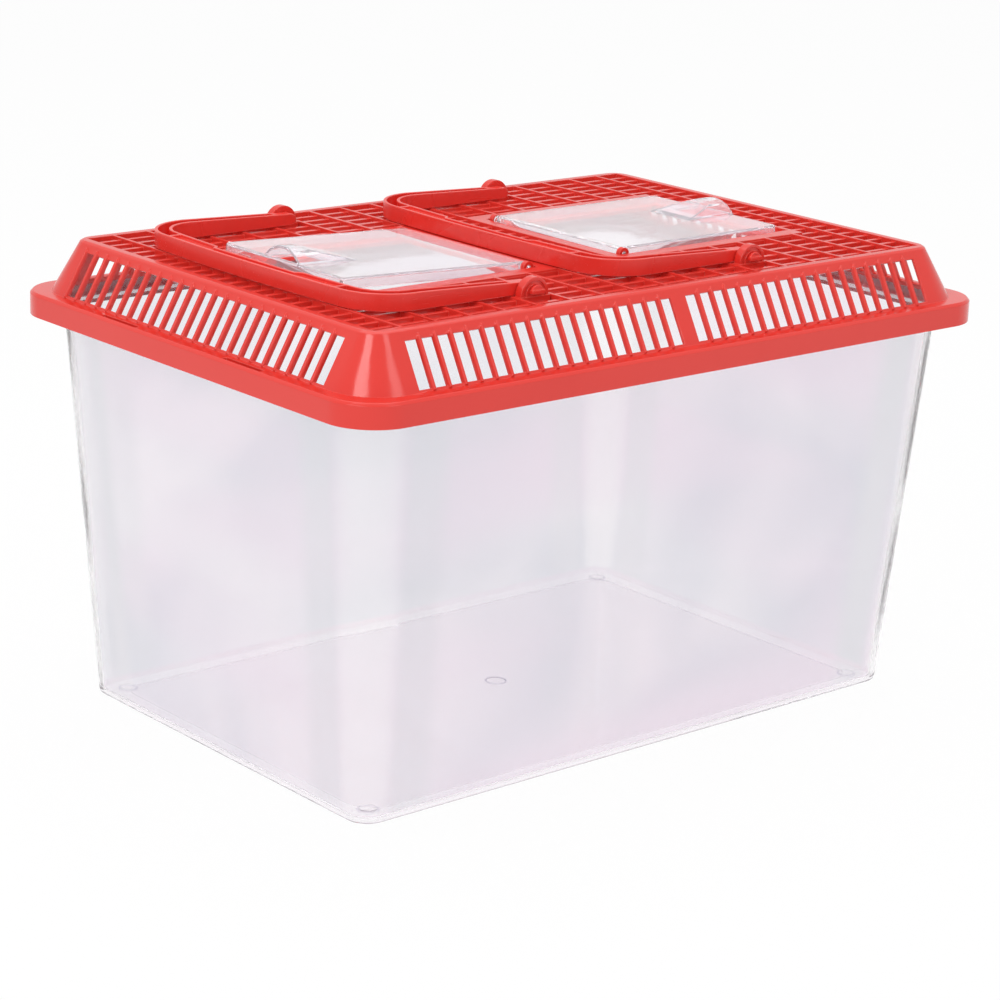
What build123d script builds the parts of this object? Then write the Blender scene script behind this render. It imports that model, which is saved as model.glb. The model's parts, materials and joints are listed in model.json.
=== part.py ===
from build123d import *
import math
import os

os.makedirs("parts", exist_ok=True)

# Overall sizes in millimetres, long side along X, origin under the middle of the tank floor
lid_length = 370.0
lid_depth = 256.0
tank_height = 188.6
dome_height = 23.3

# Lid shell
lid_wall = 2.0
dome_wall = 1.5
skirt_height = 10.8
skirt_corner = 22.0
ledge_width = 7.0
dome_inset = 20.1
ledge_edge = 1.2
deck_edge = 0.9
seat_gap = 0.1
rim_gap = 1.4

# Clear tank
tank_wall = 2.0
floor_thickness = 2.4
base_inset = 25.4
neck_inset = 10.0
rim_height = 6.0
rim_edge = 0.5
base_corner = 10.0
foot_radius = 3.0
foot_band = 11.0
foot_height = 0.8
nub_inset = 13.0
nub_radius = 3.5
nub_height = 0.5
gate_radius = 5.0
gate_depth = 0.5

# Grille in the lid: fine ridges along Y over wider bars along X
deck_thickness = 4.0
ridge_height = 1.0
border_width = 4.6
ridge_pitch = 18.3
ridge_width = 1.5
bar_pitch = 8.85
bar_width = 2.3

# Air slots in the four sloping faces, with a rib on each bar between them
slot_pitch = 8.2
slot_bar = 2.0
slot_centre_bar = 8.8
slot_end_margin = 15.6
slot_foot_margin = 1.3
slot_head_margin = 4.7
rib_proud = 0.9
rib_draft = 24.0
rib_head = 1.2
rib_tip = 1.6

# Locating nibs in the short skirts, moulded through windows in the ledge
nib_spacing = 90.0
nib_length = 22.0
nib_height = 1.2
nib_clearance = 0.3
window_width = 2.4
window_length = 26.0

# Hatches
hatch_gap = 52.0
hatch_end_margin = 35.4
hatch_width = 85.0
hatch_height = 5.0
hatch_wall = 1.5
hatch_rise = 2.0
hatch_corner = 2.5
hatch_edge = 0.7
hatch_pin_radius = 1.2
hatch_ledge = 5.0
hatch_clearance = 0.3
hinge_gap = 1.6
tab_gap = 3.0
lug_thickness = 2.4
lug_margin = 1.3
lug_wall = 1.6
frame_hinge_border = 6.6
frame_tab_border = 2.2
frame_side_border = 7.5
tab_width = 25.6
tab_rise = 6.0
tab_length = 31.0
tab_land = 5.0
tab_wall = 1.3
finger_length = 18.0
finger_width = 19.6
snap_spacing = 52.7
snap_length = 8.0
snap_height = 1.2
snap_proud = 0.5
snap_lift = 1.6
hatch_pin_recess = 0.3
hatch_left_ajar = 2.3

# Bail handles
handle_rest_gap = 0.3
handle_end_radius = 2.6
handle_grip_height = 7.4
handle_grip_width = 8.0
handle_waist = 2.0
handle_waist_half = 28.0
handle_arm_width = 5.4
handle_wall = 1.5
handle_shoulder_width = 7.4
grip_channel_depth = 1.2
handle_corner = 24.0
handle_bow = 3.5
handle_edge_margin = 19.0
handle_offset = 16.9
pin_radius = 1.8
pin_clearance = 0.1
pin_stand = 0.5
pin_head = 1.4
pin_head_radius = 3.6
pin_head_drop = 1.4
pin_bar_height = 1.6
pin_bar_proud = 0.7
ear_thickness = 4.0
ear_radius = 7.6
ear_lift = 0.6
ear_margin = 14.0
ear_side_gap = 0.5
ear_land = 0.8
ear_rim = 1.5
ear_groove = 1.2
ear_groove_depth = 0.7

# Heights that follow from the sizes above
ledge_top = tank_height + seat_gap + lid_wall
skirt_bottom = ledge_top - skirt_height
deck_top = ledge_top + dome_height
deck_floor = deck_top - deck_thickness
panel_length = lid_length - 2 * dome_inset
panel_depth = lid_depth - 2 * dome_inset
dome_run = dome_inset - ledge_width
dome_angle = math.degrees(math.atan2(dome_run, dome_height))
dome_slope = math.hypot(dome_run, dome_height)
sink = 0.5

# Grille field
grid_length = panel_length - 2 * border_width
grid_depth = panel_depth - 2 * border_width
ridge_count = int(grid_length / 2 / ridge_pitch)
bar_count = int(grid_depth / 2 / bar_pitch)

# Hatch places
barrel_radius = hatch_height / 2
hatch_near = hatch_gap / 2
hatch_far = panel_length / 2 - hatch_end_margin
hatch_length = hatch_far - hatch_near
hatch_middle = (hatch_near + hatch_far) / 2
hatch_top = deck_top + hatch_rise
hatch_bottom = hatch_top - hatch_height
barrel_z = hatch_bottom + barrel_radius
barrel_x = hatch_near + barrel_radius
recess_near = hatch_near - hinge_gap
recess_far = hatch_far + tab_gap
recess_width = hatch_width + 2 * (hatch_clearance + lug_thickness + lug_margin)
recess_floor = hatch_bottom - hatch_clearance
frame_near = recess_near - frame_hinge_border
frame_far = recess_far + frame_tab_border
frame_width = recess_width + 2 * frame_side_border

# Handle places: both fold towards -X, the second one's grip lies between the hatches
grip_edge = panel_length / 2 - handle_edge_margin
pivot_x = (grip_edge - handle_offset) / 2
handle_reach = (grip_edge + handle_offset) / 2
pivot_z = deck_top + handle_rest_gap + handle_end_radius
ear_row = int((panel_depth / 2 - ear_margin) / bar_pitch) * bar_pitch
arm_outer = ear_row - ear_thickness / 2 - ear_side_gap

# Clear tank with drafted walls, a stepped rim and a raised floor inside a foot band
base_length = lid_length - 2 * base_inset
base_depth = lid_depth - 2 * base_inset
neck_z = tank_height - rim_height
wall_draft = math.degrees(math.atan2(base_inset - neck_inset, neck_z))
rim_inset = lid_wall + rim_gap
rim_length = lid_length - 2 * rim_inset
rim_depth = lid_depth - 2 * rim_inset
rim_corner = skirt_corner - rim_inset

with BuildPart() as tank:
    with BuildSketch():
        RectangleRounded(base_length, base_depth, base_corner)
    extrude(amount=neck_z, taper=-wall_draft)
    fillet(tank.faces().sort_by(Axis.Z)[0].edges(), foot_radius)
    with BuildSketch(Plane.XY.offset(neck_z - tank_wall)) as rim_outline:
        RectangleRounded(rim_length, rim_depth, rim_corner)
    extrude(amount=tank_wall + rim_height)
    with BuildSketch(Plane.XY.offset(neck_z)) as rim_bore:
        RectangleRounded(rim_length - 2 * tank_wall, rim_depth - 2 * tank_wall, rim_corner - tank_wall)
    extrude(amount=rim_height, mode=Mode.SUBTRACT)
    floor_grow = floor_thickness * math.tan(math.radians(wall_draft)) - tank_wall
    with BuildSketch(Plane.XY.offset(floor_thickness)) as cavity_outline:
        RectangleRounded(
            base_length + 2 * floor_grow,
            base_depth + 2 * floor_grow,
            base_corner + floor_grow,
        )
    extrude(amount=neck_z - floor_thickness, taper=-wall_draft, mode=Mode.SUBTRACT)
    with BuildSketch() as foot_recess:
        RectangleRounded(base_length - 2 * foot_band, base_depth - 2 * foot_band, base_corner)
    extrude(amount=foot_height, mode=Mode.SUBTRACT)
    with BuildSketch(Plane.XY.offset(floor_thickness)) as corner_nubs:
        with GridLocations(base_length - 2 * nub_inset, base_depth - 2 * nub_inset, 2, 2):
            Circle(nub_radius)
    extrude(amount=nub_height)
    with BuildSketch(Plane.XY.offset(foot_height)) as gate_mark:
        Circle(gate_radius)
    extrude(amount=gate_depth, mode=Mode.SUBTRACT)
    rim_edges = tank.edges().filter_by_position(Axis.Z, tank_height - 0.01, tank_height + 0.01)
    chamfer(rim_edges, rim_edge)
tank.part.label = "tank"

# Lid shell: skirt, ledge and sloping dome
dome_spread = dome_run / dome_height
with BuildPart() as lid:
    with BuildSketch(Plane.XY.offset(skirt_bottom)) as skirt_outline:
        RectangleRounded(lid_length, lid_depth, skirt_corner)
    extrude(amount=skirt_height)
    ledge_edges = lid.edges().filter_by_position(Axis.Z, ledge_top - 0.01, ledge_top + 0.01)
    chamfer(ledge_edges, ledge_edge)
    with BuildSketch(Plane.XY.offset(ledge_top - sink)) as dome_outline:
        RectangleRounded(
            lid_length - 2 * ledge_width + 2 * sink * dome_spread,
            lid_depth - 2 * ledge_width + 2 * sink * dome_spread,
            skirt_corner,
        )
    extrude(amount=dome_height + sink, taper=dome_angle)
    deck_edges = lid.edges().filter_by_position(Axis.Z, deck_top - 0.01, deck_top + 0.01)
    chamfer(deck_edges, deck_edge)
    with BuildSketch(Plane.XY.offset(skirt_bottom)) as skirt_bore:
        RectangleRounded(lid_length - 2 * lid_wall, lid_depth - 2 * lid_wall, skirt_corner - lid_wall)
    extrude(amount=skirt_height - lid_wall, mode=Mode.SUBTRACT)
    bore_inset = ledge_width + dome_wall / math.cos(math.radians(dome_angle)) - lid_wall * dome_spread
    with BuildSketch(Plane.XY.offset(ledge_top - lid_wall)) as dome_bore:
        RectangleRounded(lid_length - 2 * bore_inset, lid_depth - 2 * bore_inset, skirt_corner)
    extrude(amount=deck_floor - ledge_top + lid_wall, taper=dome_angle, mode=Mode.SUBTRACT)

    # Deeper trays that carry the two hatches
    with BuildSketch(Plane.XY.offset(recess_floor - lid_wall)) as tray_outline:
        for side in (-1, 1):
            with Locations((side * (recess_near + recess_far) / 2, 0)):
                Rectangle(recess_far - recess_near + 2 * lid_wall, recess_width + 2 * lid_wall)
    extrude(amount=deck_floor - recess_floor + lid_wall + sink)

    # Hatch recesses and the openings under them
    with BuildSketch(Plane.XY.offset(recess_floor)) as recess_outline:
        for side in (-1, 1):
            with Locations((side * (recess_near + recess_far) / 2, 0)):
                Rectangle(recess_far - recess_near, recess_width)
    extrude(amount=deck_top - recess_floor + 1.0, mode=Mode.SUBTRACT)
    with BuildSketch(Plane.XY.offset(recess_floor - lid_wall - 1.0)) as hatch_opening:
        for side in (-1, 1):
            with Locations((side * hatch_middle, 0)):
                RectangleRounded(
                    hatch_length - 2 * hatch_ledge,
                    hatch_width - 2 * hatch_ledge,
                    hatch_corner,
                )
    extrude(amount=lid_wall + 2.0, mode=Mode.SUBTRACT)

    # Hinge lugs beside each hatch barrel
    lug_start = hatch_width / 2 + hatch_clearance
    lug_radius = hatch_pin_radius + pin_clearance + lug_wall
    for side in (-1, 1):
        with BuildSketch(Plane.XZ.offset(-side * lug_start)) as lug_profile:
            for end in (-1, 1):
                with Locations((end * barrel_x, barrel_z)):
                    Circle(lug_radius)
                with Locations((end * barrel_x, (recess_floor + barrel_z) / 2)):
                    Rectangle(2 * lug_radius, barrel_z - recess_floor)
                with Locations((end * barrel_x, barrel_z)):
                    Circle(hatch_pin_radius + pin_clearance, mode=Mode.SUBTRACT)
        extrude(amount=-side * lug_thickness)

    # Half round ears that carry the handle pins
    ear_base = deck_top - sink
    for side in (-1, 1):
        with BuildSketch(Plane.XZ.offset(-side * ear_row)) as ear_profile:
            with GridLocations(2 * pivot_x, 0, 2, 1):
                with Locations((0, deck_top + ear_lift)):
                    Circle(ear_radius)
            with Locations((0, ear_base - ear_radius)):
                Rectangle(4 * pivot_x, 2 * ear_radius, mode=Mode.SUBTRACT)
            with GridLocations(2 * pivot_x, 0, 2, 1):
                with Locations((0, pivot_z)):
                    Circle(pin_radius + pin_clearance, mode=Mode.SUBTRACT)
        extrude(amount=ear_thickness / 2, both=True)
        ear_face = ear_row + ear_thickness / 2
        with BuildSketch(Plane.XZ.offset(-side * ear_face)) as ear_ring:
            with GridLocations(2 * pivot_x, 0, 2, 1):
                with Locations((0, deck_top + ear_lift)):
                    Circle(ear_radius - ear_rim)
                    Circle(ear_radius - ear_rim - ear_groove, mode=Mode.SUBTRACT)
            with Locations((0, deck_top - ear_radius)):
                Rectangle(4 * pivot_x, 2 * ear_radius, mode=Mode.SUBTRACT)
        extrude(amount=side * ear_groove_depth, mode=Mode.SUBTRACT)

    # Air slots and the ribs between them on the four sloping faces
    long_face_y = lid_depth / 2 - ledge_width - dome_run / 2
    short_face_x = lid_length / 2 - ledge_width - dome_run / 2
    face_z = ledge_top + dome_height / 2
    slot_low = slot_foot_margin - dome_slope / 2
    slot_high = dome_slope / 2 - slot_head_margin
    slot_length = slot_high - slot_low
    rib_low = -dome_slope / 2
    rib_length = slot_high + rib_head - rib_low
    half_run = panel_length / 2 - slot_end_margin - slot_centre_bar / 2
    slots_half = int(round((half_run + slot_bar) / slot_pitch))
    slots_short = int(round((panel_depth - 2 * slot_end_margin + slot_bar) / slot_pitch))
    first_slot = slot_centre_bar / 2 + (slot_pitch - slot_bar) / 2
    half_middle = first_slot + (slots_half - 1) * slot_pitch / 2
    rib_half = slot_bar / 2
    rib_points = [
        (-rib_half, 0),
        (rib_half, 0),
        (rib_half, rib_length),
        (0, rib_length + rib_tip),
        (-rib_half, rib_length),
    ]
    for side in (-1, 1):
        long_face = Plane(
            origin=(0, side * long_face_y, face_z),
            x_dir=(-side, 0, 0),
            z_dir=(0, side * dome_height, dome_run),
        )
        short_face = Plane(
            origin=(side * short_face_x, 0, face_z),
            x_dir=(0, side, 0),
            z_dir=(side * dome_height, 0, dome_run),
        )
        with BuildSketch(long_face) as long_slots:
            for half in (-1, 1):
                with Locations((half * half_middle, (slot_low + slot_high) / 2)):
                    with GridLocations(slot_pitch, 0, slots_half, 1):
                        Rectangle(slot_pitch - slot_bar, slot_length)
        extrude(amount=4 * lid_wall, both=True, mode=Mode.SUBTRACT)
        with BuildSketch(short_face) as short_slots:
            with Locations((0, (slot_low + slot_high) / 2)):
                with GridLocations(slot_pitch, 0, slots_short, 1):
                    Rectangle(slot_pitch - slot_bar, slot_length)
        extrude(amount=4 * lid_wall, both=True, mode=Mode.SUBTRACT)
        with BuildSketch(long_face) as long_ribs:
            for half in (-1, 1):
                with Locations((half * half_middle, rib_low)):
                    with GridLocations(slot_pitch, 0, slots_half - 1, 1):
                        Polygon(*rib_points, align=None)
        extrude(amount=rib_proud, taper=rib_draft)
        with BuildSketch(short_face) as short_ribs:
            with Locations((side * slot_pitch / 2, rib_low)):
                with GridLocations(slot_pitch, 0, slots_short, 1):
                    Polygon(*rib_points, align=None)
        extrude(amount=rib_proud, taper=rib_draft)

    # Windows in the short ledges and the nibs under them that centre the tank rim
    nib_proud = rim_gap - nib_clearance
    with BuildSketch(Plane.XY.offset(ledge_top - lid_wall - 1.0)) as nib_windows:
        with GridLocations(lid_length - 2 * lid_wall - window_width, nib_spacing, 2, 2):
            Rectangle(window_width, window_length)
    extrude(amount=lid_wall + 2.0, mode=Mode.SUBTRACT)
    with BuildSketch(Plane.XY.offset(skirt_bottom + sink)) as rim_nibs:
        with GridLocations(lid_length - 2 * lid_wall - nib_proud, nib_spacing, 2, 2):
            Rectangle(nib_proud, nib_length)
    extrude(amount=nib_height)

    # Grille: the bars lie one step below the ridges
    with BuildSketch(Plane.XY.offset(deck_top - ridge_height)) as channel_field:
        Rectangle(grid_length, grid_depth)
        for step in range(-ridge_count, ridge_count + 1):
            with Locations((step * ridge_pitch, 0)):
                Rectangle(ridge_width, grid_depth, mode=Mode.SUBTRACT)
        for side in (-1, 1):
            with Locations((side * (frame_near + frame_far) / 2, 0)):
                Rectangle(frame_far - frame_near, frame_width, mode=Mode.SUBTRACT)
        with GridLocations(2 * pivot_x, 2 * ear_row, 2, 2):
            Rectangle(2 * (ear_radius + ear_land), ear_thickness + ear_land, mode=Mode.SUBTRACT)
    extrude(amount=ridge_height + 1.0, mode=Mode.SUBTRACT)
    with BuildSketch(Plane.XY.offset(deck_floor - 1.0)) as cell_field:
        add(channel_field.sketch_local)
        for step in range(-bar_count, bar_count + 1):
            with Locations((0, step * bar_pitch)):
                Rectangle(grid_length, bar_width, mode=Mode.SUBTRACT)
    extrude(amount=deck_thickness + 2.0, mode=Mode.SUBTRACT)
lid.part.label = "lid"

# Bail handle, folded flat towards -X, with a narrower waist in the middle of the grip
grip_x = -handle_reach
inner_x = grip_x + handle_grip_width
waist_x = inner_x - handle_bow - handle_waist
arm_inner_end = arm_outer - handle_arm_width
arm_inner_grip = arm_outer - handle_shoulder_width
grip_half = arm_outer - handle_corner - handle_waist

with BuildSketch() as outer_loop:
    with BuildLine():
        Line((handle_end_radius, -arm_outer), (grip_x, -arm_outer))
        ThreePointArc((grip_x, -arm_outer), (grip_x - handle_bow, 0), (grip_x, arm_outer))
        Line((grip_x, arm_outer), (handle_end_radius, arm_outer))
        Line((handle_end_radius, arm_outer), (handle_end_radius, -arm_outer))
    make_face()
    fillet(outer_loop.vertices().group_by(Axis.X)[0], handle_corner)

with BuildSketch() as inner_loop:
    with BuildLine():
        Line((20, -arm_inner_end), (inner_x, -arm_inner_grip))
        ThreePointArc((inner_x, -arm_inner_grip), (inner_x - handle_bow, 0), (inner_x, arm_inner_grip))
        Line((inner_x, arm_inner_grip), (20, arm_inner_end))
        Line((20, arm_inner_end), (20, -arm_inner_end))
    make_face()
    fillet(inner_loop.vertices().group_by(Axis.X)[0], handle_corner - handle_grip_width)
    with BuildLine():
        Polyline(
            (inner_x, -handle_waist_half - 3 * handle_waist),
            (waist_x, -handle_waist_half),
            (waist_x, handle_waist_half),
            (inner_x, handle_waist_half + 3 * handle_waist),
            close=True,
        )
    make_face()

with BuildSketch() as bail_outline:
    add(outer_loop.sketch)
    add(inner_loop.sketch, mode=Mode.SUBTRACT)

with BuildSketch() as bail_inside:
    add(offset(bail_outline.sketch, amount=-handle_wall, mode=Mode.PRIVATE))

with BuildPart() as bail:
    with BuildSketch(Plane.XY.offset(-handle_end_radius)):
        add(bail_outline.sketch)
    extrude(amount=handle_grip_height)

    # Top edge falls from the grip to the pins
    slope_start = grip_x + handle_corner
    arm_top = handle_end_radius
    grip_top = handle_grip_height - handle_end_radius
    with BuildSketch(Plane.XZ) as top_fall:
        with BuildLine():
            Polyline(
                (slope_start, grip_top),
                (-handle_end_radius, arm_top),
                (30, arm_top),
                (30, grip_top + 5),
                (slope_start, grip_top + 5),
                close=True,
            )
        make_face()
    extrude(amount=arm_outer + 5, both=True, mode=Mode.SUBTRACT)

    # Channel open on top of the arms and corners, webs left at the grip and at the pins
    with BuildSketch(Plane.XY.offset(-handle_end_radius + handle_wall)) as arm_channel:
        add(bail_inside.sketch)
        with Locations((grip_x, 0)):
            Rectangle(2 * handle_corner + 2 * handle_bow, 2 * grip_half, mode=Mode.SUBTRACT)
        Rectangle(18, 3 * arm_outer, mode=Mode.SUBTRACT)
    extrude(amount=handle_grip_height, mode=Mode.SUBTRACT)
    with BuildSketch(Plane.XY.offset(grip_top - grip_channel_depth)) as grip_channel:
        add(bail_inside.sketch)
        with Locations((handle_corner / 2, 0)):
            Rectangle(2 * handle_reach - handle_corner, 3 * arm_outer, mode=Mode.SUBTRACT)
        with Locations((grip_x, grip_half + handle_corner - handle_wall)):
            Rectangle(3 * handle_corner, 2 * handle_corner, mode=Mode.SUBTRACT)
        with Locations((grip_x, -grip_half - handle_corner + handle_wall)):
            Rectangle(3 * handle_corner, 2 * handle_corner, mode=Mode.SUBTRACT)
    extrude(amount=5.0, mode=Mode.SUBTRACT)
    with BuildSketch(Plane.XY.offset(-handle_end_radius - 1.0)) as grip_hollow:
        add(grip_channel.sketch_local)
    extrude(amount=handle_grip_height - grip_channel_depth - handle_wall + 1.0, mode=Mode.SUBTRACT)

    # Rounded arm ends, and pins with half round heads that carry a bar
    end_edges = bail.edges().filter_by(Axis.Y).group_by(Axis.X)[-1]
    fillet(end_edges, handle_end_radius - 0.1)
    pin_reach = ear_side_gap + ear_thickness + pin_stand
    for side in (-1, 1):
        with BuildSketch(Plane.XZ.offset(-side * (arm_outer - 1.0))) as pin_shaft:
            Circle(pin_radius)
        extrude(amount=-side * (pin_reach + 1.0))
        with BuildSketch(Plane.XZ.offset(-side * (arm_outer + pin_reach))) as pin_head_dome:
            with Locations((0, -pin_head_drop)):
                Circle(pin_head_radius)
            with Locations((0, -pin_head_drop - pin_head_radius)):
                Rectangle(2 * pin_head_radius, 2 * pin_head_radius, mode=Mode.SUBTRACT)
        extrude(amount=-side * pin_head)
        with BuildSketch(Plane.XZ.offset(-side * (arm_outer + pin_reach))) as pin_head_bar:
            with Locations((0, pin_bar_height / 2 - pin_head_drop)):
                Rectangle(2 * pin_head_radius, pin_bar_height)
        extrude(amount=-side * (pin_head + pin_bar_proud))

with BuildPart() as handle_left:
    with Locations((-pivot_x, 0, pivot_z)):
        add(bail.part)
handle_left.part.label = "handle_left"

with BuildPart() as handle_right:
    with Locations((pivot_x, 0, pivot_z)):
        add(bail.part)
handle_right.part.label = "handle_right"

# Hooded finger tab: an arched tunnel whose top falls away towards the hinge
hood_radius = (tab_width**2 / 4 + tab_rise**2) / (2 * tab_rise)
hood_axis = hatch_top + tab_rise - hood_radius
slope_near = hatch_far - tab_length
slope_far = hatch_far - tab_land

with BuildPart() as hood:
    with BuildSketch(Plane.YZ.offset(slope_near)) as hood_arch:
        with Locations((0, hood_axis)):
            Circle(hood_radius)
        with Locations((0, hatch_top - sink - hood_radius)):
            Rectangle(3 * hood_radius, 2 * hood_radius, mode=Mode.SUBTRACT)
    extrude(amount=tab_length)
    with BuildSketch(Plane.XZ) as hood_fall:
        Polygon(
            (slope_near, hatch_top),
            (slope_far, hatch_top + tab_rise),
            (slope_far, hatch_top + 2 * tab_rise),
            (slope_near, hatch_top + 2 * tab_rise),
            align=None,
        )
    extrude(amount=tab_width, both=True, mode=Mode.SUBTRACT)

with BuildPart() as hood_bore:
    with BuildSketch(Plane.YZ.offset(slope_near)) as bore_arch:
        with Locations((0, hood_axis)):
            Circle(hood_radius - tab_wall)
        with Locations((0, hatch_top - hood_radius)):
            Rectangle(3 * hood_radius, 2 * hood_radius, mode=Mode.SUBTRACT)
    extrude(amount=tab_length + 1.0)
    with BuildSketch(Plane.XZ) as bore_fall:
        Polygon(
            (slope_near - 1.0, hatch_top - tab_wall),
            (slope_far, hatch_top + tab_rise - tab_wall),
            (slope_far, hatch_top + 2 * tab_rise),
            (slope_near - 1.0, hatch_top + 2 * tab_rise),
            align=None,
        )
    extrude(amount=tab_width, both=True, mode=Mode.SUBTRACT)

# Clear hatch: a shallow tray lid with a barrel hinge along its near edge
plate_length = hatch_length - barrel_radius
plate_middle = barrel_x + plate_length / 2
with BuildPart() as hatch_right:
    with BuildSketch(Plane.XY.offset(hatch_bottom)) as flap_outline:
        with Locations((plate_middle, 0)):
            Rectangle(plate_length, hatch_width)
    extrude(amount=hatch_height)
    fillet(hatch_right.edges().filter_by(Axis.Z).group_by(Axis.X)[-1], hatch_corner)
    rim_edges = hatch_right.faces().sort_by(Axis.Z)[-1].edges()
    chamfer(rim_edges.filter_by(lambda edge: edge.center().X > barrel_x + 0.1), hatch_edge)
    with BuildSketch(Plane.XY.offset(hatch_bottom)) as flap_cavity:
        with Locations((plate_middle + hatch_wall / 2, 0)):
            Rectangle(plate_length - 3 * hatch_wall, hatch_width - 2 * hatch_wall)
    extrude(amount=hatch_height - hatch_wall, mode=Mode.SUBTRACT)
    with BuildSketch(Plane.XZ.offset(hatch_width / 2)) as barrel_end:
        with Locations((barrel_x, barrel_z)):
            Circle(barrel_radius)
    extrude(amount=-hatch_width)
    pin_overhang = hatch_clearance + lug_thickness - hatch_pin_recess
    with BuildSketch(Plane.XZ.offset(hatch_width / 2 + pin_overhang)) as hatch_pins:
        with Locations((barrel_x, barrel_z)):
            Circle(hatch_pin_radius)
    extrude(amount=-hatch_width - 2 * pin_overhang)
    add(hood.part)
    add(hood_bore.part, mode=Mode.SUBTRACT)
    with BuildSketch(Plane.XY.offset(hatch_top - hatch_wall - 1.0)) as finger_slot:
        with Locations((hatch_far - hatch_wall - finger_length / 2, 0)):
            Rectangle(finger_length, finger_width)
    extrude(amount=hatch_wall + 1.0, mode=Mode.SUBTRACT)
    with BuildSketch(Plane.YZ.offset(hatch_far - 0.2)) as snap_nibs:
        with GridLocations(snap_spacing, 0, 2, 1):
            with Locations((0, hatch_bottom + snap_lift)):
                Rectangle(snap_length, snap_height)
    extrude(amount=snap_proud + 0.2)
hatch_right.part.label = "hatch_right"

# The left hatch mirrors the right one and stands slightly open
with BuildPart() as hatch_left:
    closed_hatch = mirror(hatch_right.part, about=Plane.YZ, mode=Mode.PRIVATE)
    add(closed_hatch.rotate(Axis((-barrel_x, 0, barrel_z), (0, 1, 0)), hatch_left_ajar))
hatch_left.part.label = "hatch_left"

export_step(tank.part, "parts/tank.step")
export_step(lid.part, "parts/lid.step")
export_step(handle_left.part, "parts/handle_left.step")
export_step(handle_right.part, "parts/handle_right.step")
export_step(hatch_left.part, "parts/hatch_left.step")
export_step(hatch_right.part, "parts/hatch_right.step")
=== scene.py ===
import bpy
import json
import math
from mathutils import Matrix, Vector

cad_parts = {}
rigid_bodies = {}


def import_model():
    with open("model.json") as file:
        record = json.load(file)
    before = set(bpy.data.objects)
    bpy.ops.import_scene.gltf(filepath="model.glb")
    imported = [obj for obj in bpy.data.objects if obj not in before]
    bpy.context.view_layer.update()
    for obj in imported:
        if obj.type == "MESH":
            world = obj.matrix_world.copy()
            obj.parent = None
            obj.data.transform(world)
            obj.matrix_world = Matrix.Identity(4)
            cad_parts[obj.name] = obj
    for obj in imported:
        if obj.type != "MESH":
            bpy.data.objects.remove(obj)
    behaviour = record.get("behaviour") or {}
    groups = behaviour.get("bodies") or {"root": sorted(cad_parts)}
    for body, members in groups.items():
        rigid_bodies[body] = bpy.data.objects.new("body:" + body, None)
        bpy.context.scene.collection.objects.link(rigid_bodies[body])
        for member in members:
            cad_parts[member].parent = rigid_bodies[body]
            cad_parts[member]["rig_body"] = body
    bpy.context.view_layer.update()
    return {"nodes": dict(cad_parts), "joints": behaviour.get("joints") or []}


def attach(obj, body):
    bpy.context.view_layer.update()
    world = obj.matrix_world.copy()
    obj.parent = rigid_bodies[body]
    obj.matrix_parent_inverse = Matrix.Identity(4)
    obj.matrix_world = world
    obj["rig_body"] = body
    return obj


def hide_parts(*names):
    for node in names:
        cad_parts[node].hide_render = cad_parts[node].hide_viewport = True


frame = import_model()
print("frame loaded:", len(frame["nodes"]), "moulded parts")

# Camera at the photograph's angle, worked out from the lid's corners
cameraValues = {
    "place": (-0.87463, -1.00183, 0.48776),
    "turn": 41.1,
    "tilt": -16.6,
    "roll": 2.16,
    "lens": 107.02,
    "sensor": 36,
    "nearest": 0.05,
    "farthest": 30,
}


def addCamera(values):
    turn = math.radians(values["turn"])
    tilt = math.radians(values["tilt"])
    roll = math.radians(values["roll"])
    forward = Vector((math.sin(turn) * math.cos(tilt), math.cos(turn) * math.cos(tilt), math.sin(tilt)))
    right = forward.cross(Vector((0, 0, 1))).normalized()
    up = right.cross(forward)
    rolledRight = right * math.cos(roll) + up * math.sin(roll)
    rolledUp = up * math.cos(roll) - right * math.sin(roll)
    data = bpy.data.cameras.new("photoCamera")
    data.lens = values["lens"]
    data.sensor_width = values["sensor"]
    data.clip_start = values["nearest"]
    data.clip_end = values["farthest"]
    camera = bpy.data.objects.new("photoCamera", data)
    bpy.context.scene.collection.objects.link(camera)
    camera.matrix_world = Matrix((
        (rolledRight.x, rolledUp.x, -forward.x, values["place"][0]),
        (rolledRight.y, rolledUp.y, -forward.y, values["place"][1]),
        (rolledRight.z, rolledUp.z, -forward.z, values["place"][2]),
        (0, 0, 0, 1),
    ))
    bpy.context.scene.camera = camera


addCamera(cameraValues)
bpy.context.scene.view_settings.view_transform = "Standard"
print("camera placed")


# Fills a node's input: another node's output is linked to it, a number or colour is typed in
def feed(tree, entry, value):
    if isinstance(value, bpy.types.NodeSocket):
        tree.links.new(value, entry)
    else:
        entry.default_value = value


def addMath(tree, operation, *values):
    node = tree.nodes.new("ShaderNodeMath")
    node.operation = operation
    for entry, value in zip(node.inputs, values):
        feed(tree, entry, value)
    return node.outputs[0]


def addRange(tree, value, start, end, low=0, high=1, curve="LINEAR"):
    node = tree.nodes.new("ShaderNodeMapRange")
    node.interpolation_type = curve
    feed(tree, node.inputs["Value"], value)
    feed(tree, node.inputs["From Min"], start)
    feed(tree, node.inputs["From Max"], end)
    feed(tree, node.inputs["To Min"], low)
    feed(tree, node.inputs["To Max"], high)
    return node.outputs["Result"]


def addMix(tree, factor, first, second, kind="RGBA"):
    node = tree.nodes.new("ShaderNodeMix")
    node.data_type = kind
    feed(tree, node.inputs["Factor"], factor)
    feed(tree, node.inputs["A"], first)
    feed(tree, node.inputs["B"], second)
    return node.outputs["Result"]


def addShaderMix(tree, factor, first, second):
    node = tree.nodes.new("ShaderNodeMixShader")
    for entry, value in zip(node.inputs, (factor, first, second)):
        feed(tree, entry, value)
    return node.outputs[0]


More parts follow.
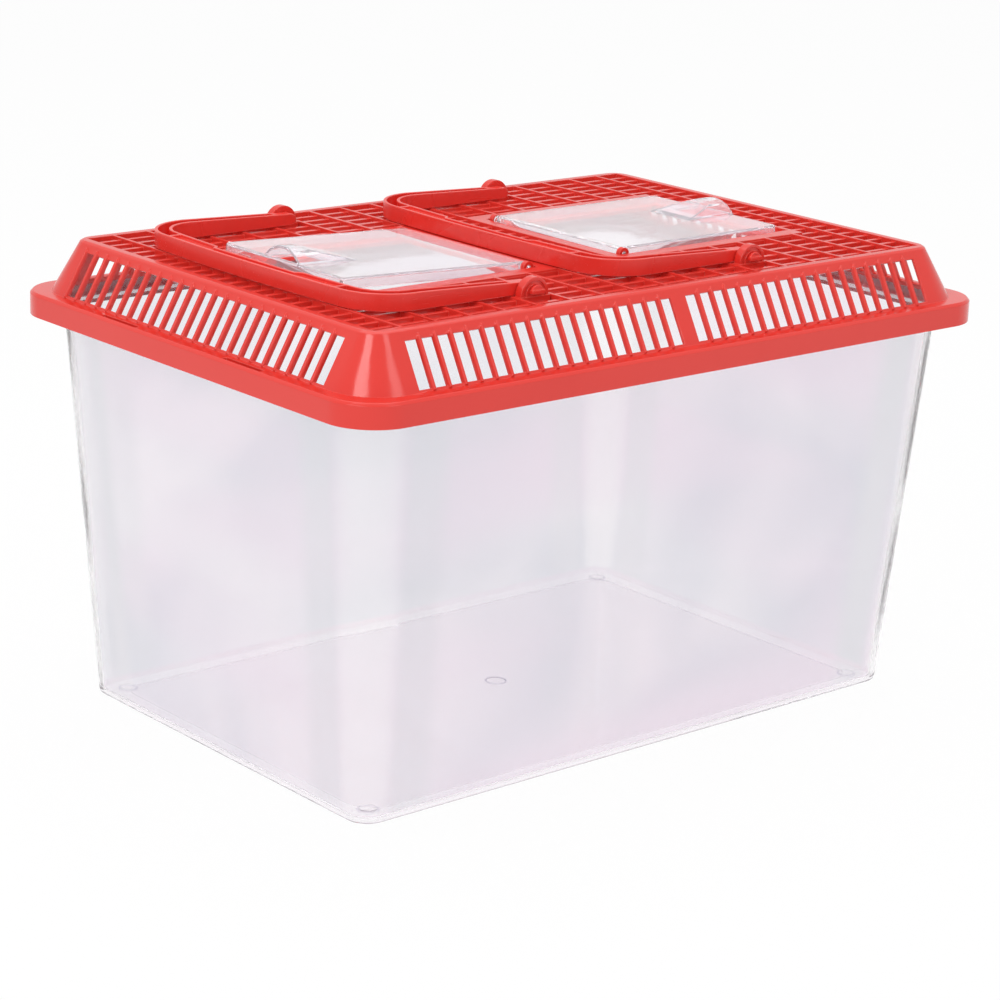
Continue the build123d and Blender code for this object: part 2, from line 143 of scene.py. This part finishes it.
def addNoise(tree, place, scale, detail, distortion=0):
    node = tree.nodes.new("ShaderNodeTexNoise")
    feed(tree, node.inputs["Vector"], place)
    feed(tree, node.inputs["Scale"], scale)
    feed(tree, node.inputs["Detail"], detail)
    feed(tree, node.inputs["Distortion"], distortion)
    return node.outputs["Fac"]


def addStretch(tree, place, scale, turn=(0, 0, 0)):
    node = tree.nodes.new("ShaderNodeMapping")
    feed(tree, node.inputs["Vector"], place)
    feed(tree, node.inputs["Rotation"], turn)
    feed(tree, node.inputs["Scale"], scale)
    return node.outputs["Vector"]


# 1 for a ray of any of the kinds named, else 0
def anyRay(tree, first, *others):
    path = tree.nodes.new("ShaderNodeLightPath")
    found = path.outputs[first]
    for kind in others:
        found = addMath(tree, "MAXIMUM", found, path.outputs[kind])
    return found


# Studio: white world, pale floor, soft lamps
studioValues = {
    "ambient": 0.60,
    "mirrored": 0.82,
    "white": 1.0,
    "floorColour": (0.92, 0.92, 0.92, 1),
    "floorLift": 0.94,
    "floorSize": 12.0,
    "lampTarget": (0, 0, 0.11),
    "bounces": 64,
}
lampValues = {
    "keyLeft": {"place": (-1.6, -0.5, 1.5), "size": 0.9, "power": 13},
    "fillFront": {"place": (0.45, -1.7, 1.8), "size": 0.9, "power": 6.5},
    "topSoft": {"place": (0.2, 0.3, 2.0), "size": 1.8, "power": 14},
}


# White to the camera and through glass, dimmer as light on the object and in its reflections
def addWorld(values):
    world = bpy.data.worlds.new("whiteStudio")
    world.use_nodes = True
    bpy.context.scene.world = world
    tree = world.node_tree
    tree.nodes.clear()
    seen = anyRay(tree, "Is Camera Ray", "Is Transmission Ray")
    glossy = anyRay(tree, "Is Glossy Ray")
    base = addRange(tree, glossy, 0, 1, values["ambient"], values["mirrored"])
    sky = tree.nodes.new("ShaderNodeBackground")
    sky.inputs["Color"].default_value = (1, 1, 1, 1)
    feed(tree, sky.inputs["Strength"], addMix(tree, seen, base, values["white"], "FLOAT"))
    out = tree.nodes.new("ShaderNodeOutputWorld")
    feed(tree, out.inputs["Surface"], sky.outputs["Background"])


# The rims of the clear parts stay light only if a path may bounce this often
def setBounces(values):
    light = bpy.context.scene.cycles
    light.max_bounces = values["bounces"]
    light.transmission_bounces = values["bounces"]
    light.transparent_max_bounces = values["bounces"]
    light.glossy_bounces = values["bounces"]


def addFloor(values):
    bpy.ops.object.select_all(action="DESELECT")
    bpy.ops.mesh.primitive_plane_add(size=values["floorSize"], location=(0, 0, 0))
    floor = bpy.context.active_object
    floor.name = "studioFloor"
    material = bpy.data.materials.new("paleFloor")
    material.use_nodes = True
    tree = material.node_tree
    tree.nodes.clear()
    seen = anyRay(tree, "Is Camera Ray", "Is Transmission Ray", "Is Glossy Ray")
    matt = tree.nodes.new("ShaderNodeBsdfDiffuse")
    matt.inputs["Color"].default_value = values["floorColour"]
    glow = tree.nodes.new("ShaderNodeEmission")
    glow.inputs["Color"].default_value = (1, 1, 1, 1)
    # A share of matt floor stays in what the camera sees, and that keeps the object's shadow
    share = addMath(tree, "MULTIPLY", seen, values["floorLift"])
    out = tree.nodes.new("ShaderNodeOutputMaterial")
    feed(tree, out.inputs["Surface"], addShaderMix(tree, share, matt.outputs[0], glow.outputs[0]))
    floor.data.materials.append(material)


def addLamps(lamps, target):
    for name, lamp in lamps.items():
        data = bpy.data.lights.new(name, "AREA")
        data.size = lamp["size"]
        data.energy = lamp["power"]
        item = bpy.data.objects.new(name, data)
        bpy.context.scene.collection.objects.link(item)
        place = Vector(lamp["place"])
        item.location = place
        item.rotation_euler = (Vector(target) - place).to_track_quat("-Z", "Y").to_euler()


addWorld(studioValues)
setBounces(studioValues)
addFloor(studioValues)
addLamps(lampValues, studioValues["lampTarget"])
print("studio lit")


# A node group with named inputs and number outputs, empty but for its two ends
def startGroup(name, inputs, outputs):
    group = bpy.data.node_groups.new(name, "ShaderNodeTree")
    for label, value in inputs.items():
        kind = "NodeSocketVector" if isinstance(value, tuple) else "NodeSocketFloat"
        entry = group.interface.new_socket(name=label, in_out="INPUT", socket_type=kind)
        entry.default_value = value
    for label in outputs:
        group.interface.new_socket(name=label, in_out="OUTPUT", socket_type="NodeSocketFloat")
    given = group.nodes.new("NodeGroupInput").outputs
    made = group.nodes.new("NodeGroupOutput").inputs
    place = group.nodes.new("ShaderNodeTexCoord").outputs["Object"]
    return group, given, made, place


paintedEdgeHighlightValues = {
    "samples": 6,
    "bentFrom": 0.975,
    "bentFully": 0.80,
    "breakDetail": 3,
    "breakFrom": 0.30,
    "breakTo": 0.62,
    "leastLeft": 0.55,
}


# Painted highlight where two faces meet: 0 on flats, 1 on a sharp edge, broken up by noise
def paintedEdgeHighlightGroup(values):
    group, given, made, place = startGroup(
        "paintedEdgeHighlight",
        {"Reach": 0.0006, "Strength": 1.0, "Break Size": 160.0},
        ["Mask"],
    )
    soft = group.nodes.new("ShaderNodeBevel")
    soft.samples = values["samples"]
    feed(group, soft.inputs["Radius"], given["Reach"])
    shape = group.nodes.new("ShaderNodeNewGeometry")
    agree = group.nodes.new("ShaderNodeVectorMath")
    agree.operation = "DOT_PRODUCT"
    feed(group, agree.inputs[0], soft.outputs["Normal"])
    feed(group, agree.inputs[1], shape.outputs["Normal"])
    bent = addRange(group, agree.outputs["Value"], values["bentFrom"], values["bentFully"])
    broken = addNoise(group, place, given["Break Size"], values["breakDetail"])
    left = addRange(group, broken, values["breakFrom"], values["breakTo"], values["leastLeft"])
    highlit = addMath(group, "MULTIPLY", addMath(group, "MULTIPLY", bent, left), given["Strength"])
    highlit.node.use_clamp = True
    feed(group, made["Mask"], highlit)
    return group


mouldedSkinValues = {
    "flowDetail": 2,
    "flowDistortion": 0.6,
    "flowFrom": 0.3,
    "flowTo": 0.7,
    "grainDetail": 2,
    "hairTurn": (0.3, 0.5, 0.7),
    "hairStretch": (9, 260, 260),
    "hairScale": 5,
    "hairDetail": 1,
    "hairFrom": 0.70,
    "hairTo": 0.78,
    "hairRough": 0.15,
}


# Moulded surface: slow flow marks, fine grain and a few hair scratches
def mouldedSkinGroup(values):
    group, given, made, place = startGroup(
        "mouldedSkin",
        {
            "Flow Size": 14.0,
            "Grain Size": 1200.0,
            "Grain Height": 0.25,
            "Flow Height": 0.5,
            "Scratches": 0.3,
            "Rough Low": 0.2,
            "Rough High": 0.3,
        },
        ["Flow", "Roughness", "Height"],
    )
    flow = addNoise(group, place, given["Flow Size"], values["flowDetail"], values["flowDistortion"])
    grain = addNoise(group, place, given["Grain Size"], values["grainDetail"])
    stretched = addStretch(group, place, values["hairStretch"], values["hairTurn"])
    hair = addNoise(group, stretched, values["hairScale"], values["hairDetail"])
    discShade = addRange(group, hair, values["hairFrom"], values["hairTo"])
    scratch = addMath(group, "MULTIPLY", discShade, given["Scratches"])
    low, high = given["Rough Low"], given["Rough High"]
    rough = addRange(group, flow, values["flowFrom"], values["flowTo"], low, high)
    fine = addMath(group, "MULTIPLY", grain, given["Grain Height"])
    slow = addMath(group, "MULTIPLY_ADD", flow, given["Flow Height"], fine)
    feed(group, made["Flow"], flow)
    feed(group, made["Roughness"], addMath(group, "MULTIPLY_ADD", scratch, values["hairRough"], rough))
    feed(group, made["Height"], addMath(group, "SUBTRACT", slow, scratch))
    return group


cloudBandValues = {
    "cloudScale": 1.0,
    "cloudDetail": 1,
    "bandFrom": 0.38,
    "bandTo": 0.62,
}


# Wide soft clouds, drawn out along the piece by the size given for each direction
def cloudBandsGroup(values):
    group, given, made, place = startGroup("cloudBands", {"Band Size": (1.0, 1.0, 1.0)}, ["Mask"])
    stretched = addStretch(group, place, given["Band Size"])
    cloud = addNoise(group, stretched, values["cloudScale"], values["cloudDetail"])
    bands = addRange(group, cloud, values["bandFrom"], values["bandTo"], curve="SMOOTHSTEP")
    feed(group, made["Mask"], bands)
    return group


paintedEdgeHighlight = paintedEdgeHighlightGroup(paintedEdgeHighlightValues)
mouldedSkin = mouldedSkinGroup(mouldedSkinValues)
cloudBands = cloudBandsGroup(cloudBandValues)
print("shared node groups built")

# Materials
lidRedValues = {
    "colour": (0.79, 0.042, 0.030, 1),
    "deepColour": (0.73, 0.034, 0.024, 1),
    "edgeHighlightColour": (0.92, 0.170, 0.135, 1),
    "edgeReach": 0.0007,
    "edgeStrength": 0.75,
    "index": 1.49,
    "roughLow": 0.12,
    "roughHigh": 0.20,
    "flowSize": 16,
    "flowHeight": 0.5,
    "grainSize": 1500,
    "grainHeight": 0.25,
    "scratches": 0.25,
    "bump": 0.00006,
}
handleRedValues = {
    "colour": (0.84, 0.042, 0.031, 1),
    "deepColour": (0.77, 0.034, 0.024, 1),
    "edgeHighlightColour": (0.94, 0.150, 0.115, 1),
    "edgeReach": 0.0009,
    "edgeStrength": 0.9,
    "index": 1.49,
    "roughLow": 0.22,
    "roughHigh": 0.32,
    "flowSize": 22,
    "flowHeight": 0.5,
    "grainSize": 1300,
    "grainHeight": 0.25,
    "scratches": 0.45,
    "bump": 0.00007,
}
tankClearValues = {
    "clearness": 0.95,
    "colour": (0.950, 0.930, 0.955, 1),
    "secondColour": (0.840, 0.845, 0.885, 1),
    "secondFrom": 0.40,
    "secondTo": 0.60,
    "bandColour": (0.925, 0.875, 0.925, 1),
    "bandSize": (2.5, 2.5, 14.0),
    "index": 1.50,
    "roughLow": 0.0,
    "roughHigh": 0.015,
    "flowSize": 7,
    "flowHeight": 1.0,
    "grainSize": 700,
    "grainHeight": 0.02,
    "scratches": 0.02,
    "bump": 0.00010,
}
hatchClearValues = {
    "clearness": 0.84,
    "colour": (0.998, 0.975, 0.999, 1),
    "secondColour": (0.992, 0.960, 0.992, 1),
    "secondFrom": 0.40,
    "secondTo": 0.60,
    "bandColour": (0.988, 0.945, 0.988, 1),
    "bandSize": (20.0, 6.0, 20.0),
    "index": 1.50,
    "roughLow": 0.0,
    "roughHigh": 0.02,
    "flowSize": 12,
    "flowHeight": 1.0,
    "grainSize": 800,
    "grainHeight": 0.02,
    "scratches": 0.04,
    "bump": 0.00012,
}


def placeGroup(tree, group, values):
    node = tree.nodes.new("ShaderNodeGroup")
    node.node_tree = group
    for label, value in values.items():
        node.inputs[label].default_value = value
    return node.outputs


# What the red and the clear plastics share: gloss and bump from the moulded skin
def startPlastic(name, values):
    material = bpy.data.materials.new(name)
    material.use_nodes = True
    tree = material.node_tree
    shader = tree.nodes["Principled BSDF"]
    shader.inputs["IOR"].default_value = values["index"]
    skin = placeGroup(tree, mouldedSkin, {
        "Flow Size": values["flowSize"],
        "Grain Size": values["grainSize"],
        "Grain Height": values["grainHeight"],
        "Flow Height": values["flowHeight"],
        "Scratches": values["scratches"],
        "Rough Low": values["roughLow"],
        "Rough High": values["roughHigh"],
    })
    feed(tree, shader.inputs["Roughness"], skin["Roughness"])
    bump = tree.nodes.new("ShaderNodeBump")
    bump.inputs["Strength"].default_value = 1.0
    bump.inputs["Distance"].default_value = values["bump"]
    feed(tree, bump.inputs["Height"], skin["Height"])
    feed(tree, shader.inputs["Normal"], bump.outputs["Normal"])
    return material, shader, skin["Flow"]


def redPlastic(name, values):
    material, shader, flow = startPlastic(name, values)
    tree = material.node_tree
    highlit = placeGroup(tree, paintedEdgeHighlight, {
        "Reach": values["edgeReach"],
        "Strength": values["edgeStrength"],
    })
    tone = addMix(tree, flow, values["colour"], values["deepColour"])
    # A paler red is painted along the sharp edges as a painted highlight
    feed(tree, shader.inputs["Base Color"], addMix(tree, highlit["Mask"], tone, values["edgeHighlightColour"]))
    return material


def clearPlastic(name, values):
    material, shader, flow = startPlastic(name, values)
    tree = material.node_tree
    shader.inputs["Transmission Weight"].default_value = values["clearness"]
    second = addRange(tree, flow, values["secondFrom"], values["secondTo"])
    tone = addMix(tree, second, values["colour"], values["secondColour"])
    bands = placeGroup(tree, cloudBands, {"Band Size": values["bandSize"]})
    feed(tree, shader.inputs["Base Color"], addMix(tree, bands["Mask"], tone, values["bandColour"]))
    # To the lamps it is a tinted film, so that they shine through it
    film = tree.nodes.new("ShaderNodeBsdfTransparent")
    film.inputs["Color"].default_value = values["colour"]
    skin = addShaderMix(tree, anyRay(tree, "Is Shadow Ray"), shader.outputs[0], film.outputs[0])
    feed(tree, tree.nodes["Material Output"].inputs["Surface"], skin)
    return material


redLid = redPlastic("redLidPlastic", lidRedValues)
redHandle = redPlastic("redHandlePlastic", handleRedValues)
clearTank = clearPlastic("clearTankPlastic", tankClearValues)
clearHatch = clearPlastic("clearHatchPlastic", hatchClearValues)
print("materials mixed")

# Clear tank: one face carried up the outside and down the inside, so the skin closes
tankValues = {
    "length": 0.370,
    "depth": 0.256,
    "height": 0.1886,
    "wall": 0.002,
    "floor": 0.0024,
    "floorRadius": 0.002,
    "floorSteps": 3,
    "baseInset": 0.0254,
    "neckInset": 0.010,
    "rimInset": 0.0034,
    "rimHeight": 0.006,
    "rimEdge": 0.0005,
    "rimCorner": 0.0186,
    "baseCorner": 0.010,
    "cornerFill": 0.0012,
    "cornerSteps": 12,
    "footRadius": 0.0022,
    "footSteps": 4,
    "footBand": 0.011,
    "footHeight": 0.0008,
    "nubInset": 0.013,
    "nubRadius": 0.0035,
    "nubHeight": 0.0005,
    "gateRadius": 0.005,
    "gateDepth": 0.0005,
    "discSides": 24,
    "smoothAngle": 40,
}
cornerSigns = ((1, 1), (-1, 1), (-1, -1), (1, -1))


# How far the walls lean out for each metre up
def tankDraft(values):
    return (values["baseInset"] - values["neckInset"]) / (values["height"] - values["rimHeight"])


# Each outline is its length, depth, corner radius and height
def tankRings(values):
    neckHeight = values["height"] - values["rimHeight"]
    draft = tankDraft(values)
    baseLength = values["length"] - 2 * values["baseInset"]
    baseDepth = values["depth"] - 2 * values["baseInset"]
    rimLength = values["length"] - 2 * values["rimInset"]
    rimDepth = values["depth"] - 2 * values["rimInset"]
    rings = []

    def footRing(height):
        band = values["footBand"]
        rings.append((baseLength - 2 * band, baseDepth - 2 * band, values["baseCorner"], height))

    def wallRing(height, inward):
        grow = draft * height - inward
        fill = values["cornerFill"] * min(1, inward / values["wall"])
        corner = values["baseCorner"] + grow + fill
        rings.append((baseLength + 2 * grow, baseDepth + 2 * grow, corner, height))

    def rimRing(inward, height):
        corner = values["rimCorner"] - inward
        rings.append((rimLength - 2 * inward, rimDepth - 2 * inward, corner, height))

    footRing(values["footHeight"])
    footRing(0)
    radius = values["footRadius"]
    for step in range(values["footSteps"] + 1):
        angle = math.radians(90 * step / values["footSteps"])
        wallRing(radius * (1 - math.cos(angle)), radius * (1 - math.sin(angle)))
    shoulder = neckHeight - values["wall"]
    wallRing(shoulder / 2, 0)
    wallRing(shoulder, 0)
    rimRing(0, shoulder)
    rimRing(0, values["height"] - values["rimEdge"])
    rimRing(values["rimEdge"], values["height"])
    rimRing(values["wall"] - values["rimEdge"], values["height"])
    rimRing(values["wall"], values["height"] - values["rimEdge"])
    rimRing(values["wall"], neckHeight)
    wallRing(neckHeight, values["wall"])
    wallRing(shoulder / 2, values["wall"])
    radius = values["floorRadius"]
    for step in range(values["floorSteps"] + 1):
        angle = math.radians(90 * step / values["floorSteps"])
        height = values["floor"] + radius * (1 - math.sin(angle))
        wallRing(height, values["wall"] + radius * (1 - math.cos(angle)))
    return rings


# The middle of the arc that rounds one of an outline's corners
def arcMiddle(ring, signX, signY):
    length, depth, corner, height = ring
    return Vector((signX * (length / 2 - corner), signY * (depth / 2 - corner), height))


# The face carried from outline to outline: its corners are resized and moved one by one
def carryFace(piece, before, after):
    cap = set(piece.data.polygons[piece.data.polygons.active].vertices)
    grow = after[2] / before[2]
    for signX, signY in cornerSigns:
        for edge in piece.data.edges:
            edge.select = False
        for face in piece.data.polygons:
            face.select = False
        for point in piece.data.vertices:
            point.select = point.index in cap and point.co.x * signX > 0 and point.co.y * signY > 0
        oldMiddle = arcMiddle(before, signX, signY)
        newMiddle = arcMiddle(after, signX, signY)
        bpy.ops.object.mode_set(mode="EDIT")
        bpy.ops.mesh.select_mode(type="VERT")
        bpy.ops.transform.resize(value=(grow, grow, 1), center_override=oldMiddle)
        bpy.ops.transform.translate(value=newMiddle - oldMiddle)
        bpy.ops.object.mode_set(mode="OBJECT")


def addTank(values):
    rings = tankRings(values)
    length, depth, corner, height = rings[0]
    bpy.ops.object.select_all(action="DESELECT")
    bpy.ops.mesh.primitive_plane_add(size=1, location=(0, 0, height))
    tank = bpy.context.active_object
    tank.name = "tankMoulding"
    tank.data.name = "tankMoulding"
    tank.scale = (length, depth, 1)
    bpy.ops.object.transform_apply(location=True, rotation=True, scale=True)
    bpy.ops.object.mode_set(mode="EDIT")
    bpy.ops.mesh.select_all(action="SELECT")
    bpy.ops.mesh.bevel(
        offset=corner,
        offset_type="OFFSET",
        segments=values["cornerSteps"],
        affect="VERTICES",
        clamp_overlap=False,
    )
    bpy.ops.object.mode_set(mode="OBJECT")
    tank.data.polygons.active = 0
    for before, after in zip(rings, rings[1:]):
        for face in tank.data.polygons:
            face.select = face.index == tank.data.polygons.active
        bpy.ops.object.mode_set(mode="EDIT")
        bpy.ops.mesh.select_mode(type="FACE")
        bpy.ops.mesh.extrude_region()
        bpy.ops.object.mode_set(mode="OBJECT")
        tank.data.polygons.active = max(face.index for face in tank.data.polygons if face.select)
        carryFace(tank, before, after)
    bpy.ops.object.mode_set(mode="EDIT")
    bpy.ops.mesh.select_all(action="SELECT")
    bpy.ops.mesh.normals_make_consistent(inside=False)
    bpy.ops.object.mode_set(mode="OBJECT")
    return tank


def pickOnly(piece):
    bpy.ops.object.select_all(action="DESELECT")
    piece.select_set(True)
    bpy.context.view_layer.objects.active = piece


# A round disc added to the tank or cut out of it. It reaches up and down from its place by the
# height given, and only one of its halves changes the tank
def addDisc(tank, operation, radius, place, height, sides):
    bpy.ops.object.select_all(action="DESELECT")
    bpy.ops.mesh.primitive_cylinder_add(vertices=sides, radius=radius, depth=2 * height, location=place)
    disc = bpy.context.active_object
    bpy.ops.object.transform_apply(location=True, rotation=True, scale=True)
    pickOnly(tank)
    mark = tank.modifiers.new("mark", "BOOLEAN")
    mark.operation = operation
    mark.object = disc
    mark.solver = "EXACT"
    bpy.ops.object.modifier_apply(modifier=mark.name)
    bpy.data.objects.remove(disc)


# How far from the middle the floor's discs lie
def nubPlace(values):
    inset = values["baseInset"] + values["nubInset"]
    return values["length"] / 2 - inset, values["depth"] / 2 - inset


# Low discs in the floor's corners and the gate's dimple underneath
def addTankMarks(tank, values):
    reachX, reachY = nubPlace(values)
    sides = values["discSides"]
    for signX, signY in cornerSigns:
        place = (signX * reachX, signY * reachY, values["floor"])
        addDisc(tank, "UNION", values["nubRadius"], place, values["nubHeight"], sides)
    place = (0, 0, values["footHeight"])
    addDisc(tank, "DIFFERENCE", values["gateRadius"], place, values["gateDepth"], sides)


# A tint on the floor, where the plastic is thicker, and painted light: a painted highlight and painted
# shade at the upright corners, painted shade rings round the discs and painted shade on walls seen
# edge-on
tankTintAndPaintedLightValues = {
    "floorTop": 0.0045,
    "floorBlend": 0.001,
    "floorColour": (0.930, 0.880, 0.925, 1),
    "streakReach": 0.0125,
    "streakBlend": 0.003,
    "cornerHighlightColour": (0.985, 0.975, 0.985, 1),
    "greyFrom": 0.019,
    "greyTo": 0.030,
    "greyBlend": 0.012,
    "cornerShadeColour": (0.885, 0.880, 0.905, 1),
    "discRadius": 0.0040,
    "gateRadius": 0.0048,
    "lineWidth": 0.0010,
    "discShadeColour": (0.640, 0.580, 0.700, 1),
    "rimFrom": 0.80,
    "rimBlend": 0.5,
    "glanceShadeColour": (0.700, 0.705, 0.780, 1),
}


def addTankTintAndPaintedLight(material, values, tankSizes):
    tree = material.node_tree
    baseColour = tree.nodes["Principled BSDF"].inputs["Base Color"]
    # The tank is the same in all four corners, so one of them is worked out
    folded = tree.nodes.new("ShaderNodeVectorMath")
    folded.operation = "ABSOLUTE"
    feed(tree, folded.inputs[0], tree.nodes.new("ShaderNodeTexCoord").outputs["Object"])
    along = tree.nodes.new("ShaderNodeSeparateXYZ")
    feed(tree, along.inputs["Vector"], folded.outputs["Vector"])
    x, y, height = along.outputs
    flat = tree.nodes.new("ShaderNodeCombineXYZ")
    feed(tree, flat.inputs["X"], x)
    feed(tree, flat.inputs["Y"], y)

    def rise(value, start, end):
        return addRange(tree, value, start, end, 0, 1, "SMOOTHSTEP")

    def fade(value, start, end):
        return addRange(tree, value, start, end, 1, 0, "SMOOTHSTEP")

    def ring(middle, radius):
        away = tree.nodes.new("ShaderNodeVectorMath")
        away.operation = "DISTANCE"
        feed(tree, away.inputs[0], flat.outputs["Vector"])
        away.inputs[1].default_value = (*middle, 0)
        off = addMath(tree, "ABSOLUTE", addMath(tree, "SUBTRACT", away.outputs["Value"], radius))
        return fade(off, 0, values["lineWidth"])

    # How far in from the upright corner. Its radius grows with the draft, so the painted highlight
    # streak keeps to its middle at every height
    reach = (tankSizes["length"] + tankSizes["depth"]) / 2 - 2 * tankSizes["baseInset"]
    climb = math.sqrt(2) * tankDraft(tankSizes)
    inward = addMath(
        tree,
        "SUBTRACT",
        addMath(tree, "MULTIPLY_ADD", height, climb, reach),
        addMath(tree, "ADD", x, y),
    )
    # Painted shade: a greyer band on the walls beside each corner's painted highlight
    cornerShade = addMath(
        tree,
        "MULTIPLY",
        fade(inward, values["greyTo"], values["greyTo"] + values["greyBlend"]),
        rise(inward, values["streakReach"], values["greyFrom"]),
    )
    # Painted highlight: a paler streak down each upright corner
    nearest = values["streakReach"] - values["streakBlend"]
    cornerHighlight = fade(inward, nearest, values["streakReach"] + values["streakBlend"])
    low = fade(height, values["floorTop"] - values["floorBlend"], values["floorTop"])
    colour = baseColour.links[0].from_socket
    colour = addMix(tree, cornerShade, colour, values["cornerShadeColour"])
    colour = addMix(tree, cornerHighlight, colour, values["cornerHighlightColour"])
    colour = addMix(tree, low, colour, values["floorColour"])
    # Painted shade: dark rings round the floor's discs and the gate's dimple
    for middle, radius in (
        (nubPlace(tankSizes), values["discRadius"]),
        ((0, 0), values["gateRadius"]),
    ):
        discShade = addMath(tree, "MULTIPLY", ring(middle, radius), low)
        colour = addMix(tree, discShade, colour, values["discShadeColour"])
    # Painted shade: the walls turn greyer where they are seen edge-on
    glance = tree.nodes.new("ShaderNodeLayerWeight")
    glance.inputs["Blend"].default_value = values["rimBlend"]
    glanceShade = fade(glance.outputs["Facing"], 1, values["rimFrom"])
    feed(tree, baseColour, addMix(tree, glanceShade, colour, values["glanceShadeColour"]))


# Edges are rounded where they bend by more than "sharpest" and shaded smooth below "smoothAngle"
edgeValues = {
    "merge": 0.000004,
    "sharpest": 28,
    "segments": 2,
    "smoothAngle": 60,
    "faceWeight": 100,
}


def smoothFaces(piece, angle):
    pickOnly(piece)
    bpy.ops.object.shade_smooth_by_angle(angle=math.radians(angle))
    flat = piece.modifiers.new("flatFaces", "WEIGHTED_NORMAL")
    flat.mode = "FACE_AREA"
    flat.weight = edgeValues["faceWeight"]
    flat.keep_sharp = True
    bpy.ops.object.modifier_apply(modifier=flat.name)


def settle(piece, nodeName, material):
    piece.data.materials.clear()
    piece.data.materials.append(material)
    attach(piece, frame["nodes"][nodeName]["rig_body"])
    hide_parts(nodeName)


tank = addTank(tankValues)
addTankMarks(tank, tankValues)
smoothFaces(tank, tankValues["smoothAngle"])
addTankTintAndPaintedLight(clearTank, tankTintAndPaintedLightValues, tankValues)
settle(tank, "tank", clearTank)
print("tank moulded:", len(tank.data.vertices), "points", len(tank.data.polygons), "faces")

pieceValues = {
    "lid": {"name": "lidMoulding", "bevel": 0.00025},
    "handle_left": {"name": "handleMouldingLeft", "bevel": 0.0003},
    "handle_right": {"name": "handleMouldingRight", "bevel": 0.0003},
    "hatch_left": {"name": "hatchMouldingLeft", "bevel": 0.0003},
    "hatch_right": {"name": "hatchMouldingRight", "bevel": 0.0003},
}

# The hatches turn on short pins with 0.1 mm to spare, so the edges there stay as they are
hatchPinValues = {
    "places": [joint["pos_m"] for joint in frame["joints"] if joint["child"].startswith("hatch")],
    "reach": 0.0035,
}


def nearHatchPin(place, values):
    gaps = [math.hypot(place.x - pin[0], place.z - pin[2]) for pin in values["places"]]
    return min(gaps) < values["reach"]


# Outward edges are weighted for rounding. Rounding an inward one would add plastic and fill the
# hinges' clearance, so those are marked sharp and stay crisp under the smooth shading
def weighOutwardEdges(piece, sharpest):
    mesh = piece.data
    beside = {}
    for face in mesh.polygons:
        for key in face.edge_keys:
            beside.setdefault(key, []).append(face)
    weights = mesh.attributes.new("bevel_weight_edge", "FLOAT", "EDGE")
    for edge in mesh.edges:
        faces = beside.get(edge.key, [])
        if len(faces) != 2:
            continue
        first, second = faces
        if first.normal.angle(second.normal, 0) <= sharpest:
            continue
        outward = (second.center - first.center).dot(first.normal) < 0
        middle = (mesh.vertices[edge.vertices[0]].co + mesh.vertices[edge.vertices[1]].co) / 2
        if outward and not nearHatchPin(middle, hatchPinValues):
            weights.data[edge.index].value = 1
        else:
            edge.use_edge_sharp = True


# A merged copy of a packed moulding with its outward edges rounded
def roundedCopy(nodeName, values):
    piece = bpy.data.objects.new(values["name"], frame["nodes"][nodeName].data.copy())
    bpy.context.scene.collection.objects.link(piece)
    pickOnly(piece)
    if piece.data.has_custom_normals:
        bpy.ops.mesh.customdata_custom_splitnormals_clear()
    bpy.ops.object.mode_set(mode="EDIT")
    bpy.ops.mesh.select_all(action="SELECT")
    bpy.ops.mesh.remove_doubles(threshold=edgeValues["merge"])
    bpy.ops.object.mode_set(mode="OBJECT")
    weighOutwardEdges(piece, math.radians(edgeValues["sharpest"]))
    bevel = piece.modifiers.new("edges", "BEVEL")
    bevel.width = values["bevel"]
    bevel.segments = edgeValues["segments"]
    bevel.limit_method = "WEIGHT"
    bevel.use_clamp_overlap = False
    bpy.ops.object.modifier_apply(modifier=bevel.name)
    smoothFaces(piece, edgeValues["smoothAngle"])
    print(values["name"], len(piece.data.vertices), "points", len(piece.data.polygons), "faces")
    return piece


nodeFinish = {
    "lid": (redLid, "red_lid"),
    "handle_left": (redHandle, "red_handle"),
    "handle_right": (redHandle, "red_handle"),
    "hatch_left": (clearHatch, "clear_hatch"),
    "hatch_right": (clearHatch, "clear_hatch"),
}
for nodeName, (material, slotName) in nodeFinish.items():
    piece = roundedCopy(nodeName, pieceValues[nodeName])
    settle(piece, nodeName, material)
print("mouldings rounded")
